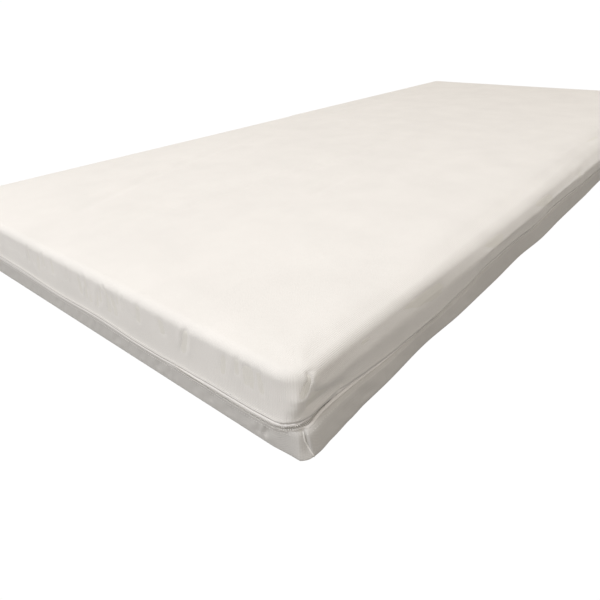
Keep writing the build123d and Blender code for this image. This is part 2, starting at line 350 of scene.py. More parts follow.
def to_arc(a, b):
    """Rounds a square corner's grid: which points are in the corner, and their new a and b."""
    both = (a > 0) & (b > 0)
    size = np.maximum(a, b)
    ratio = np.minimum(a, b) / np.maximum(size, 1e-9)
    angle = np.where(a >= b, math.pi / 4 * ratio, math.pi / 2 - math.pi / 4 * ratio)
    return both, size * np.cos(angle), size * np.sin(angle)


def round_corners(points):
    """Turns the pattern's square plan corners into round ones."""
    x, y = points[:, 0].copy(), points[:, 1].copy()
    both, across, up = to_arc(*past_corner(x, y))
    points[:, 0] = np.where(both, np.sign(x) * (CENTRE_X + across), x)
    points[:, 1] = np.where(both, np.sign(y) * (CENTRE_Y + up), y)
    return points


def round_edge(points, face_height, radius):
    """Rounds the edge between the flat face at face_height and the wall."""
    inset, normal, _ = wall(points)
    depth = np.abs(points[:, 2] - face_height)
    side = 1 if face_height > HEIGHT / 2 else -1
    both, across, up = to_arc(radius - inset, radius - depth)
    new_inset = np.where(both, radius - across, inset)
    new_depth = np.where(both, radius - up, depth)
    points[:, :2] += normal * (inset - new_inset)[:, None]
    points[:, 2] = face_height - side * new_depth
    return points


def shell(name, face_height, levels, x_lines, y_lines, edge_radius):
    """A tray of cloth: one flat face with a wall down (or up) to the last level, and its cloth UV map."""
    bm = bmesh.new()
    bmesh.ops.create_grid(bm, x_segments=len(x_lines) - 1, y_segments=len(y_lines) - 1, size=0.5)
    for vert in bm.verts:
        vert.co.x = x_lines[round((vert.co.x + 0.5) * (len(x_lines) - 1))]
        vert.co.y = y_lines[round((vert.co.y + 0.5) * (len(y_lines) - 1))]
        vert.co.z = face_height
    rim = [edge for edge in bm.edges if edge.is_boundary]
    for level in levels:
        made = bmesh.ops.extrude_edge_only(bm, edges=rim)["geom"]
        for vert in [item for item in made if isinstance(item, bmesh.types.BMVert)]:
            vert.co.z = level
        rim = [item for item in made if isinstance(item, bmesh.types.BMEdge) and item.is_boundary]
    bmesh.ops.recalc_face_normals(bm, faces=bm.faces)
    bm.faces.ensure_lookup_table()
    flat_up = bm.faces[0].normal.z > 0
    if flat_up != (face_height > HEIGHT / 2):
        bmesh.ops.reverse_faces(bm, faces=bm.faces)
    piece = to_object(bm, name)
    points = round_corners(get_points(piece.data))
    _, normal, _ = wall(points)
    depth = np.abs(points[:, 2] - face_height)
    cloth_uv(piece.data, points[:, :2], normal, depth)
    set_points(piece.data, round_edge(points, face_height, edge_radius))
    return piece


def cloth_uv(mesh, plan, normal, depth):
    """A UV map in metres of cloth: each wall unfolds straight out from the flat face."""
    layer = mesh.uv_layers.new(name="cloth")
    corners = np.empty(len(mesh.loops), np.int64)
    mesh.loops.foreach_get("vertex_index", corners)
    face = np.repeat(np.arange(len(mesh.polygons)), [polygon.loop_total for polygon in mesh.polygons])
    facing = np.zeros((len(mesh.polygons), 2))
    np.add.at(facing, face, np.abs(normal[corners]))
    end_wall = (facing[:, 0] > facing[:, 1])[face]
    reach = np.sign(normal[corners]) * depth[corners][:, None]
    reach[:, 0] = np.where(end_wall, np.sign(plan[corners, 0]) * depth[corners], 0)
    reach[:, 1] = np.where(end_wall, 0, np.sign(plan[corners, 1]) * depth[corners])
    layer.data.foreach_set("uv", np.asarray(plan[corners] + reach, np.float32).ravel())


CLOTH_FRAMES = 20


def inflate(piece, pressure, cap, pinned_height):
    """Blows the cloth up against its pinned hem, and keeps each point within cap of its pattern."""
    before = get_points(piece.data)
    hem = [i for i, z in enumerate(before[:, 2]) if abs(z - pinned_height) < 0.5 * MM]
    group = piece.vertex_groups.new(name="hem")
    group.add(hem, 1.0, "REPLACE")
    cloth = piece.modifiers.new("Cloth", "CLOTH")
    settings = {
        "quality": 6, "mass": 0.3, "use_pressure": True, "uniform_pressure_force": pressure,
        "tension_stiffness": 20, "compression_stiffness": 20, "shear_stiffness": 8, "bending_stiffness": 0.6,
        "shrink_min": -0.006, "vertex_group_mass": "hem",
    }
    for key, value in settings.items():
        setattr(cloth.settings, key, value)
    cloth.settings.effector_weights.gravity = 0
    cloth.point_cache.frame_start = 1
    cloth.point_cache.frame_end = CLOTH_FRAMES
    for number in range(1, CLOTH_FRAMES + 1):
        bpy.context.scene.frame_set(number)
    apply_modifiers(piece)
    bpy.context.scene.frame_set(1)
    piece.vertex_groups.clear()
    move = get_points(piece.data) - before
    length = np.linalg.norm(move, axis=1)
    scale = cap * np.tanh(length / cap) / np.maximum(length, 1e-9)
    set_points(piece.data, before + move * scale[:, None])


def fold(points, normals, line, width, depth, ridge=0.5, fade_share=0.25):
    """Presses a crease along a line into the cloth, with a soft ridge beside it. Its ends fade out."""
    line = np.array(line, float)
    starts, ends = line[:-1], line[1:]
    lengths = np.linalg.norm(ends - starts, axis=1)
    total = lengths.sum()
    low, high = line.min(0) - 4 * width, line.max(0) + 4 * width
    near = np.where(((points >= low) & (points <= high)).all(1))[0]
    if len(near) == 0:
        return points
    here = points[near]
    best = np.full(len(near), np.inf)
    share = np.zeros(len(near))
    done = 0.0
    for start, end, length in zip(starts, ends, lengths):
        t = np.clip(((here - start) @ (end - start)) / length**2, 0, 1)
        gap = np.linalg.norm(here - (start + t[:, None] * (end - start)), axis=1)
        closer = gap < best
        best = np.where(closer, gap, best)
        share = np.where(closer, (done + t * length) / total, share)
        done += length
    fade = ease(share / fade_share) * ease((1 - share) / 0.25)
    valley = np.exp(-((best / width) ** 2))
    shoulder = np.exp(-(((best - 1.7 * width) / width) ** 2))
    amount = depth * fade * (ridge * shoulder - valley)
    points[near] += normals[near] * amount[:, None]
    return points


def put_paint(piece, paint):
    piece.data.materials.clear()
    piece.data.materials.append(paint)


def finish_piece(piece, paint, stands_for=()):
    put_paint(piece, paint)
    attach(piece, BODY)
    if stands_for:
        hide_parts(*stands_for)
    return piece


def turn_hem(piece):
    """Carries the cloth's open edge in to the zip tape."""
    bm = bmesh.new()
    bm.from_mesh(piece.data)
    rim = [edge for edge in bm.edges if edge.is_boundary]
    for reach in (2.4 * MM, 4.9 * MM):
        made = bmesh.ops.extrude_edge_only(bm, edges=rim)["geom"]
        verts = [item for item in made if isinstance(item, bmesh.types.BMVert)]
        _, normal, _ = wall(np.array([vert.co for vert in verts]))
        for vert, out in zip(verts, normal):
            vert.co.x -= out[0] * reach
            vert.co.y -= out[1] * reach
        rim = [item for item in made if isinstance(item, bmesh.types.BMEdge) and item.is_boundary]
    bm.to_mesh(piece.data)
    bm.free()
    for polygon in piece.data.polygons:
        polygon.use_smooth = True


def strip(name, path, section, closed_path, closed_section):
    """A strip that follows the path: section is a list of (inset from the path, height) points."""
    bm = bmesh.new()
    columns, rows = len(path) - 1, len(section) - (0 if closed_section else 1)
    bmesh.ops.create_grid(bm, x_segments=columns, y_segments=rows, size=0.5)
    outward = path_normals(path, closed_path)
    layer = bm.loops.layers.uv.new("cloth")
    place = np.concatenate([[0], np.cumsum(np.linalg.norm(np.diff(path, axis=0), axis=1))])
    width = np.concatenate([[0], np.cumsum(np.linalg.norm(np.diff(np.array(section), axis=0), axis=1))])
    for vert in bm.verts:
        column = round((vert.co.x + 0.5) * columns)
        row = round((vert.co.y + 0.5) * rows)
        inset, height = section[row % len(section)]
        spot = path[column] - outward[column] * inset
        vert.co = (spot[0], spot[1], height)
        for loop in vert.link_loops:
            loop[layer].uv = (place[column], width[row % len(width)])
    bmesh.ops.remove_doubles(bm, verts=bm.verts, dist=1e-6)
    bmesh.ops.recalc_face_normals(bm, faces=bm.faces)
    return to_object(bm, name)


def path_normals(path, closed):
    ahead = np.roll(path, -1, 0)
    behind = np.roll(path, 1, 0)
    if closed:
        ahead[-1] = path[1]
        behind[0] = path[-2]
    else:
        ahead[-1] = path[-1]
        behind[0] = path[0]
    tangent = ahead - behind
    tangent /= np.linalg.norm(tangent, axis=1)[:, None]
    return np.stack([tangent[:, 1], -tangent[:, 0]], 1)


def round_section(inset, height, radius, sides):
    angles = [2 * math.pi * k / sides for k in range(sides)]
    return [(inset + radius * math.cos(a), height + radius * math.sin(a)) for a in angles]


def settle_piece(piece, flap=False):
    points = get_points(piece.data)
    _, _, along = wall(points)
    points = settle(points)
    if flap:
        points = drop_flap(points, along)
    set_points(piece.data, points)


def run_along(unit, name, path, pitch):
    """Copies of the unit mesh at one pitch along a closed or open path of 3D points."""
    curve = bpy.data.curves.new(name + "_path", "CURVE")
    curve.dimensions = "3D"
    curve.twist_mode = "Z_UP"
    spline = curve.splines.new("POLY")
    spline.points.add(len(path) - 1)
    for point, place in zip(spline.points, path):
        point.co = (*place, 1)
    guide = bpy.data.objects.new(name + "_path", curve)
    bpy.context.scene.collection.objects.link(guide)
    length = np.linalg.norm(np.diff(path, axis=0), axis=1).sum()
    array = unit.modifiers.new("Array", "ARRAY")
    array.use_relative_offset = False
    array.use_constant_offset = True
    array.constant_offset_displace = (pitch, 0, 0)
    array.count = int(length / pitch)
    bend = unit.modifiers.new("Curve", "CURVE")
    bend.object = guide
    bend.deform_axis = "POS_X"
    apply_modifiers(unit)
    bpy.data.objects.remove(guide)
    bpy.data.curves.remove(curve)
    return unit


# --- materials ------------------------------------------------------------------------------------


class Paint:
    """A material and short calls to add and join its nodes."""

    def __init__(self, name, colour, roughness, sheen=0.0, metallic=0.0):
        self.material = bpy.data.materials.new(name)
        self.material.use_nodes = True
        self.tree = self.material.node_tree
        self.shader = self.tree.nodes["Principled BSDF"]
        self.colour = colour
        self.shader.inputs["Base Color"].default_value = (*colour, 1)
        self.shader.inputs["Roughness"].default_value = roughness
        self.shader.inputs["Metallic"].default_value = metallic
        self.shader.inputs["Sheen Weight"].default_value = sheen
        self.shader.inputs["Specular IOR Level"].default_value = 0.3

    def add(self, kind, inputs=(), **settings):
        node = self.tree.nodes.new(kind)
        for key, value in settings.items():
            setattr(node, key, value)
        for key, value in dict(inputs).items():
            if isinstance(value, bpy.types.NodeSocket):
                self.tree.links.new(value, node.inputs[key])
            else:
                node.inputs[key].default_value = value
        return node

    def coordinates(self, kind):
        if kind == "cloth":
            return self.add("ShaderNodeUVMap", uv_map="cloth").outputs["UV"]
        return self.add("ShaderNodeTexCoord").outputs["Object"]

    def bands(self, vector, pitch, direction, distortion=0.0):
        """Rows one pitch apart, as a smooth wave from 0 to 1."""
        scale = 2 * math.pi / (20 * pitch)
        inputs = {"Vector": vector, "Scale": scale, "Distortion": distortion, "Detail Scale": 2.0}
        wave = self.add("ShaderNodeTexWave", inputs, bands_direction=direction)
        return wave.outputs["Fac"]

    def noise(self, vector, scale, detail=2.0):
        inputs = {"Vector": vector, "Scale": scale, "Detail": detail}
        return self.add("ShaderNodeTexNoise", inputs).outputs["Fac"]

    def math(self, operation, a, b):
        return self.add("ShaderNodeMath", {0: a, 1: b}, operation=operation).outputs[0]

    def blend(self, a, share_a, b, share_b):
        return self.math("ADD", self.math("MULTIPLY", a, share_a), self.math("MULTIPLY", b, share_b))

    def shades(self, factor, dark, light):
        """Base colour that runs with the factor between two tones of the paint's own colour."""
        ramp = self.add("ShaderNodeValToRGB", {"Fac": factor})
        for element, tone in zip(ramp.color_ramp.elements, (dark, light)):
            element.color = (*toned(self.colour, tone), 1)
        self.tree.links.new(ramp.outputs["Color"], self.shader.inputs["Base Color"])

    def bump(self, height, distance, strength=1.0):
        node = self.add("ShaderNodeBump", {"Height": height, "Distance": distance, "Strength": strength})
        self.tree.links.new(node.outputs["Normal"], self.shader.inputs["Normal"])


def toned(colour, factor):
    return tuple(min(1.0, channel * factor) for channel in colour)


def slot_colour(slot):
    for entry in frame["record"]["materials"]:
        if entry["slot"] == slot:
            return tuple(entry["base_color"])
    raise ValueError("no material slot named " + slot)


def knit_paint(name, colour, pitch):
    """Weft knit: fine upright ribs with small loops across them, a faint mottle, and painted shade darkening
    the grooves between them.
    """
    paint = Paint(name, colour, 0.9, sheen=0.1)
    cloth = paint.coordinates("cloth")
    ribs = paint.bands(cloth, pitch, "Y", 0.6)
    loops = paint.bands(cloth, pitch * 0.8, "X", 1.0)
    fuzz = paint.noise(cloth, 700.0)
    height = paint.blend(ribs, 0.45, loops, 0.3)
    height = paint.math("ADD", height, paint.math("MULTIPLY", fuzz, 0.5))
    paint.bump(height, 0.42 * MM)
    mottle = paint.noise(paint.coordinates("object"), 14.0, 4.0)
    # The colour follows the bump height too: painted shade in the knit's low grooves, on top of the mottle's
    # random tone.
    mixed = paint.blend(mottle, 0.75, height, 0.25)
    paint.shades(mixed, 0.91, 1.05)
    return paint.material


def weave_paint(name, colour, pitch, roughness=0.8, sheen=0.05, depth=0.2):
    """Plain weave: threads one pitch apart both ways."""
    paint = Paint(name, colour, roughness, sheen=sheen)
    cloth = paint.coordinates("cloth")
    warp = paint.bands(cloth, pitch, "X", 0.4)
    weft = paint.bands(cloth, pitch, "Y", 0.4)
    threads = paint.math("MAXIMUM", warp, weft)
    slub = paint.noise(cloth, 220.0, 3.0)
    height = paint.math("ADD", threads, paint.math("MULTIPLY", slub, 0.5))
    paint.bump(height, depth * MM)
    mottle = paint.noise(paint.coordinates("object"), 18.0, 3.0)
    mixed = paint.blend(mottle, 0.7, slub, 0.3)
    paint.shades(mixed, 0.93, 1.03)
    return paint.material


def cord_paint(name, colour):
    """Bias-cut binding over a cord: a diagonal weave that twists round it."""
    paint = Paint(name, colour, 0.6, sheen=0.1)
    place = paint.coordinates("object")
    turned = paint.add("ShaderNodeMapping", {"Vector": place, "Rotation": (0.7, 0.4, 0.6)}).outputs[0]
    twist = paint.bands(turned, 0.9 * MM, "DIAGONAL", 0.5)
    paint.bump(twist, 0.12 * MM)
    wear = paint.noise(place, 40.0, 3.0)
    paint.shades(wear, 0.95, 1.02)
    return paint.material


def tape_paint(name, colour):
    """Zip tape: a herringbone of two opposed diagonals, with painted shade where its threads lie low."""
    paint = Paint(name, colour, 0.85, sheen=0.05)
    place = paint.coordinates("cloth")
    turned = paint.add("ShaderNodeMapping", {"Vector": place, "Rotation": (0, 0, math.pi / 4)}).outputs[0]
    twill = paint.bands(turned, 1.0 * MM, "X", 0.2)
    other = paint.bands(turned, 1.0 * MM, "Y", 0.2)
    side = paint.bands(place, 4.0 * MM, "Y")
    mixed = paint.add("ShaderNodeMix", {0: side, 2: twill, 3: other}).outputs[0]
    paint.bump(mixed, 0.15 * MM)
    # Colour from the bump height: painted shade, darker where the twill's threads lie low.
    paint.shades(mixed, 0.9, 1.03)
    return paint.material


def coil_paint(name, colour):
    """Moulded monofilament: smooth, a little translucent-looking, with faint drawing marks."""
    paint = Paint(name, colour, 0.38)
    place = paint.coordinates("object")
    marks = paint.noise(place, 1400.0, 2.0)
    paint.bump(marks, 0.04 * MM)
    tone = paint.noise(place, 60.0, 2.0)
    paint.shades(tone, 0.94, 1.03)
    return paint.material


def enamel_paint(name, colour):
    """Enamelled zinc casting: satin, with orange peel, and duller where hands rub it."""
    paint = Paint(name, colour, 0.35, metallic=0.25)
    place = paint.coordinates("object")
    peel = paint.noise(place, 1800.0, 2.0)
    paint.bump(peel, 0.03 * MM)
    rub = paint.noise(place, 350.0, 3.0)
    paint.shades(rub, 0.88, 1.04)
    ramp = paint.add("ShaderNodeMapRange", {"Value": rub, "To Min": 0.28, "To Max": 0.5})
    paint.tree.links.new(ramp.outputs[0], paint.shader.inputs["Roughness"])
    return paint.material


def foam_paint(name, colour, cell):
    """Cut polyurethane foam: open cells of one size with painted shade in their pits, a skin of fine fibres,
    and slow tone changes.
    """
    paint = Paint(name, colour, 0.95, sheen=0.1)
    place = paint.coordinates("object")
    cells = paint.add("ShaderNodeTexVoronoi", {"Vector": place, "Scale": 1 / cell}).outputs["Distance"]
    grain = paint.noise(place, 2.5 / cell, 3.0)
    height = paint.math("ADD", cells, paint.math("MULTIPLY", grain, 0.5))
    paint.bump(height, 0.4 * MM)
    tone = paint.noise(place, 9.0, 3.0)
    # The cells' share darkens the pits that the bump makes low: painted shade in the open cells. The tone's
    # share is random tone.
    mixed = paint.blend(tone, 0.6, cells, 0.4)
    paint.shades(mixed, 0.86, 1.03)
    return paint.material


# --- sizes and colours that a user would change ----------------------------------------------------


class MattressSizes(bpy.types.PropertyGroup):
    top_edge_radius: bpy.props.FloatProperty(
        name="Top edge radius", description="Roundness of the lying face's edge at the ends",
        default=12 * MM, min=4 * MM, max=20 * MM, unit="LENGTH",
    )
    base_edge_radius: bpy.props.FloatProperty(
        name="Base edge radius", description="Roundness of the underside's edge",
        default=2.4 * MM, min=2 * MM, max=12 * MM, unit="LENGTH",
    )
    cloth: bpy.props.FloatProperty(
        name="Cloth", description="Thickness of the cover's cloth", default=1.2 * MM, min=0.4 * MM, max=2 * MM,
        unit="LENGTH",
    )
    swell: bpy.props.FloatProperty(
        name="Swell", description="Furthest that the filled cover bulges from its pattern",
        default=2.2 * MM, min=0, max=8 * MM, unit="LENGTH",
    )
    pressure: bpy.props.FloatProperty(
        name="Pressure", description="Push of the foam on the cover in the cloth simulation",
        default=4.0, min=0, max=20,
    )
    upper_piping: bpy.props.FloatProperty(
        name="Flap piping radius", description="Radius of the piping along the flap's hem",
        default=2.3 * MM, min=1 * MM, max=3 * MM, unit="LENGTH",
    )
    lower_piping: bpy.props.FloatProperty(
        name="Base piping radius", description="Radius of the piping along the base cover's hem",
        default=1.1 * MM, min=0.8 * MM, max=3 * MM, unit="LENGTH",
    )
    tooth_pitch: bpy.props.FloatProperty(
        name="Coil pitch", description="Distance from one turn of the zip coil to the next",
        default=1.7 * MM, min=1 * MM, max=4 * MM, unit="LENGTH",
    )
    rib_pitch: bpy.props.FloatProperty(
        name="Rib pitch", description="Distance between the ribs of the knit", default=2.3 * MM, min=1 * MM,
        max=6 * MM, unit="LENGTH",
    )


class MattressColours(bpy.types.PropertyGroup):
    knit: bpy.props.FloatVectorProperty(
        name="Knit", description="Colour of the top cover", default=slot_colour("cover_knit"), min=0, max=1,
        subtype="COLOR",
    )
    base: bpy.props.FloatVectorProperty(
        name="Base cloth", description="Colour of the base cover",
        # Toned to 0.77 of the slot's colour: the cloth is a little darker, and the rest is painted shade for
        # the shade that falls under the flap.
        default=toned(slot_colour("base_cloth"), 0.77), min=0, max=1, subtype="COLOR",
    )
    piping: bpy.props.FloatVectorProperty(
        name="Piping", description="Colour of both pipings",
        default=toned(slot_colour("welt_cloth"), 0.96), min=0, max=1, subtype="COLOR",
    )


def sizes():
    return bpy.context.scene.mattress_sizes


def colours():
    return bpy.context.scene.mattress_colours


class MattressOperator:
    """What every operator here has in common."""

    bl_options = {"REGISTER", "UNDO"}

    def execute(self, context):
        self.make()
        return {"FINISHED"}


# --- covers ---------------------------------------------------------------------------------------

# How many small folds are scattered over each face
FAINT_FOLDS = 9
END_STROKES = 26
END_GATHERS = 60
SIDE_GATHERS = 90


class MATTRESS_OT_top_cover(MattressOperator, bpy.types.Operator):
    """Make the stretch-knit top cover, with its skirt, folds and turned-in hem"""

    bl_idname = "mattress.top_cover"
    bl_label = "Top cover"

    def make(self):
        x_spacing = (
            (0, 3.2), (0.016, 3.2), (0.03, 6), (0.1, 12), (0.3, 20), (0.6, 34), (0.93, 34), (0.98, 12), (1, 8),
        )
        y_spacing = ((0, 3.2), (0.035, 3.2), (0.06, 5), (0.6, 5), (0.72, 10), (0.93, 10), (0.965, 7), (1, 6))
        x_lines = spaced_lines(-HALF_LENGTH, HALF_LENGTH, x_spacing, 106)
        y_lines = spaced_lines(-HALF_WIDTH, HALF_WIDTH, y_spacing, 146)
        levels = [HEIGHT - step * MM for step in (3, 6, 9, 12, 16, 21, 26, 31, 37, 43, 49, 55, 61)]
        levels.append(TOP_HEM)
        piece = shell("top_cover_knit", HEIGHT, levels, x_lines, y_lines, sizes().top_edge_radius)
        inflate(piece, sizes().pressure, sizes().swell, TOP_HEM)
        subdivide(piece)
        settle_piece(piece, flap=True)
        self.press_folds(piece.data)
        turn_hem(piece)
        thicken(piece, sizes().cloth, -1)
        finish_piece(piece, knit_paint("stretch_knit", colours().knit, sizes().rib_pitch),
                     stands_for=["cover_top"])

    def press_folds(self, mesh):
        points, normals = get_points(mesh), get_points(mesh, "normal")
        foot, right, top = -HALF_LENGTH, -HALF_WIDTH, HEIGHT

        def press(folds, spot):
            for line, width, depth in folds:
                fold(points, normals, [spot(*place) for place in line], width * MM, depth * MM)

        # Each fold: its line on that face in metres, its width and its depth in millimetres
        long_ripples = (
            ([(-0.969, 0.109), (-0.691, 0.209), (-0.223, 0.324)], 13, 2.4),
            ([(-0.974, 0.019), (-0.821, 0.024), (-0.636, 0.003), (-0.282, -0.022), (-0.004, -0.007)], 13, 2.2),
            ([(-0.616, -0.136), (-0.429, -0.113)], 11, 1.6),
        )
        press(long_ripples, lambda x, y: (x, y, top))
        end_creases = (
            ([(0.333, 0.101), (0.3205, 0.081), (0.318, 0.056)], 3.0, 2.4),
            ([(0.372, 0.099), (0.374, 0.080), (0.378, 0.052)], 3.0, 1.9),
            ([(0.493, 0.100), (0.494, 0.066)], 3.4, 1.9),
            ([(0.158, 0.099), (0.171, 0.055)], 5, 1.6),
            ([(0.343, 0.085), (0.352, 0.048)], 3, 1.2),
            ([(0.285, 0.098), (0.280, 0.070)], 3, 1.0),
            ([(0.420, 0.098), (0.424, 0.066)], 3, 1.2),
            ([(0.540, 0.097), (0.546, 0.060)], 4, 1.2),
        )
        press(end_creases, lambda across, z: (foot, right + across, z))
        side_folds = (
            ([(0.160, 0.096), (0.20, 0.090), (0.235, 0.078), (0.31, 0.066)], 15, 1.0),
            ([(0.40, 0.094), (0.50, 0.068)], 14, 1.2),
            ([(0.62, 0.094), (0.74, 0.064)], 14, 1.3),
            ([(0.98, 0.094), (0.945, 0.086), (0.90, 0.062)], 8, 3.0),
            ([(1.25, 0.090), (1.38, 0.064)], 14, 1.6),
        )
        press(side_folds, lambda along, z: (foot + along, right, z))
        chance = np.random.default_rng(7)
        for _ in range(FAINT_FOLDS):
            x, y = chance.uniform(-0.85, 0.75), chance.uniform(-0.36, 0.40)
            length, slope = chance.uniform(0.25, 0.6), chance.uniform(-0.18, 0.22)
            line = [(x, y, top), (x + length, y + length * slope, top)]
            fold(points, normals, line, chance.uniform(12, 20) * MM, chance.uniform(0.7, 1.3) * MM)
        for _ in range(END_STROKES):
            y, z = chance.uniform(right + 0.05, -right - 0.05), chance.uniform(0.088, 0.100)
            length, lean = chance.uniform(0.025, 0.042), chance.uniform(-0.01, 0.01)
            line = [(foot, y, z), (foot, y + lean, z - length)]
            width, depth = chance.uniform(3, 6) * MM, chance.uniform(0.5, 1.2) * MM
            fold(points, normals, line, width, depth, ridge=0.2, fade_share=0.4)
        for sign_x, sign_y in CORNERS:
            self.pucker_corner(points, normals, sign_x, sign_y)
        set_points(mesh, points)

    def pucker_corner(self, points, normals, sign_x, sign_y):
        """The corner seam draws the cloth in: a dimple at its top and an S-shaped crease down from it."""
        def spot(turn, inset, z):
            radius = CORNER_RADIUS - inset * MM
            x = CENTRE_X + radius * math.cos(math.radians(turn))
            y = CENTRE_Y + radius * math.sin(math.radians(turn))
            return (sign_x * x, sign_y * y, z)

        def side_spot(distance, z):
            return (sign_x * (HALF_LENGTH - distance), sign_y * HALF_WIDTH, z)

        crease = [
            spot(90, 3, 0.096), spot(70, 4, 0.0955), spot(73, 2, 0.088), spot(65, 2, 0.082),
            spot(58, 1, 0.076), spot(50, 0, 0.069),
        ]
        fold(points, normals, crease, 2.3 * MM, 3.0 * MM, ridge=0, fade_share=0.06)
        lobe = [spot(76, 0, 0.091), spot(82, 0, 0.083), spot(84, 0, 0.078)]
        fold(points, normals, lobe, 5.5 * MM, -1.4 * MM, ridge=0)
        hollow = [spot(62, 0, 0.066), spot(84, 0, 0.060), side_spot(0.051, 0.050), side_spot(0.09, 0.040)]
        fold(points, normals, hollow, 9 * MM, 4.5 * MM, ridge=0.3, fade_share=0.1)


class MATTRESS_OT_base_cover(MattressOperator, bpy.types.Operator):
    """Make the base cover: a shallow tray with a turned-in hem and puckers along it"""

    bl_idname = "mattress.base_cover"
    bl_label = "Base cover"

    def make(self):
        x_spacing = ((0, 3), (0.02, 3.2), (0.04, 8), (0.1, 12), (0.5, 30), (0.95, 26), (0.98, 5), (1, 4))
        y_spacing = ((0, 3), (0.05, 3.2), (0.09, 6), (0.6, 6), (0.75, 14), (0.95, 7), (1, 4))
        x_lines = spaced_lines(-HALF_LENGTH, HALF_LENGTH, x_spacing, 112)
        y_lines = spaced_lines(-HALF_WIDTH, HALF_WIDTH, y_spacing, 140)
        levels = [step * MM for step in (1.8, 3.6, 6, 9, 12, 15)]
        levels.append(BASE_HEM)
        piece = shell("base_cover_cloth", 0.0, levels, x_lines, y_lines, sizes().base_edge_radius)
        points = get_points(piece.data)
        inset, _, _ = wall(points)
        hem_share = 1.4 * ease(points[:, 2] / BASE_HEM)
        push_in(piece, BASE_INSET * hem_share * (1 - ease((inset - 8 * MM) / (20 * MM))))
        subdivide(piece)
        settle_piece(piece)
        self.pucker(piece.data)
        turn_hem(piece)
        thicken(piece, sizes().cloth, -1)
        finish_piece(piece, weave_paint("base_cloth", colours().base, 1.5 * MM),
                     stands_for=["cover_base"])

    def pucker(self, mesh):
        """Small gathers under the hem, where the tape is shorter than the cloth."""
        points, normals = get_points(mesh), get_points(mesh, "normal")
        chance = np.random.default_rng(11)
        for _ in range(END_GATHERS):
            y = chance.uniform(0.02, 0.86) - HALF_WIDTH
            line = [(-HALF_LENGTH, y, 0.022), (-HALF_LENGTH, y + 0.004, 0.008)]
            fold(points, normals, line, chance.uniform(3, 5) * MM, chance.uniform(0.4, 1.0) * MM)
        for _ in range(SIDE_GATHERS):
            x = chance.uniform(0.02, 1.95) - HALF_LENGTH
            line = [(x, -HALF_WIDTH, 0.024), (x + 0.006, -HALF_WIDTH, 0.006)]
            fold(points, normals, line, chance.uniform(4, 8) * MM, chance.uniform(0.3, 0.8) * MM)
        set_points(mesh, points)


# --- piping, zip and seams ------------------------------------------------------------------------


class MATTRESS_OT_piping(MattressOperator, bpy.types.Operator):
    """Make the piping along the flap's hem and the thinner one along the base cover's hem"""

    bl_idname = "mattress.piping"
    bl_label = "Piping"

    def make(self):
        paint = cord_paint("piping_cloth", colours().piping)
        rows = (
            ("flap_piping", "flap_welt", TOP_HEM - 1.0 * MM, sizes().upper_piping, 1.9, True),
            ("base_piping", "base_welt", BASE_HEM + 0.8 * MM, sizes().lower_piping, 1.9, False),
        )
        for name, node, height, radius, inset, flap in rows:
            path = loop_path(inset * MM, 7 * MM)
            section = round_section(0, height, radius, 10)
            piece = strip(name, path, section, True, True)
            _, normal, along = wall(get_points(piece.data))
            settle_piece(piece, flap=flap)
            points = get_points(piece.data)
            points[:, :2] -= normal * eased(along, PIPING_TUCK)[:, None]
            set_points(piece.data, points)
            finish_piece(piece, paint, stands_for=[node])


class MATTRESS_OT_zip_tapes(MattressOperator, bpy.types.Operator):
    """Make the zip's upper and lower tape"""

    bl_idname = "mattress.zip_tapes"
    bl_label = "Zip tapes"

    def make(self):
        paint = tape_paint("zip_tape_twill", slot_colour("zip_tape"))
        for name, node in (("upper_zip_tape", "zip_tape_upper"), ("lower_zip_tape", "zip_tape_lower")):
            low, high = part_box(node)
            inset = HALF_LENGTH - high.x + 0.3 * MM
            heights = np.linspace(low.z, high.z, 5)
            path = loop_path(inset, 9 * MM, gap=1 * MM)
            piece = strip(name, path, [(0, z) for z in heights], False, False)
            thicken(piece, 0.6 * MM, 0)
            apply_modifiers(piece)
            settle_piece(piece)
            finish_piece(piece, paint, stands_for=[node])


WIRE_RADIUS = 0.62 * MM


class MATTRESS_OT_zip_coils(MattressOperator, bpy.types.Operator):
    """Make the two coils of the zip, turn by turn"""

    bl_idname = "mattress.zip_coils"
    bl_label = "Zip coils"

    def make(self):
        paint = coil_paint("coil_filament", slot_colour("zip_coil"))
        rows = (("upper_coil_turns", "zip_coil_upper", 1), ("lower_coil_turns", "zip_coil_lower", -1))
        for name, node, sign in rows:
            turn = self.one_turn(name, sign)
            flat = loop_path(ZIP_INSET, 9 * MM, gap=8 * MM)
            height = ZIP_HEIGHT + sign * COIL_OFFSET
            path = np.concatenate([flat, np.full((len(flat), 1), height)], 1)
            piece = run_along(turn, name, path, sizes().tooth_pitch)
            settle_piece(piece)
            finish_piece(piece, paint, stands_for=[node])

    def one_turn(self, name, sign):
        """One visible half-turn of the filament, bowed outwards, slanting to the next turn."""
        bm = bmesh.new()
        made = bmesh.ops.create_circle(bm, cap_ends=True, segments=5, radius=WIRE_RADIUS)
        across = COIL_RADIUS - WIRE_RADIUS
        bmesh.ops.rotate(bm, verts=made["verts"], matrix=Matrix.Rotation(math.pi / 2, 3, "X"))
        bmesh.ops.translate(bm, verts=made["verts"], vec=(0, 0, across))
        bmesh.ops.spin(
            bm, geom=bm.verts[:] + bm.edges[:] + bm.faces[:], cent=(0, 0, 0), axis=(1, 0, 0),
            dvec=(0.1 * MM, 0, 0), angle=math.pi, steps=4, use_merge=False,
        )
        bmesh.ops.recalc_face_normals(bm, faces=bm.faces)
        return to_object(bm, name)


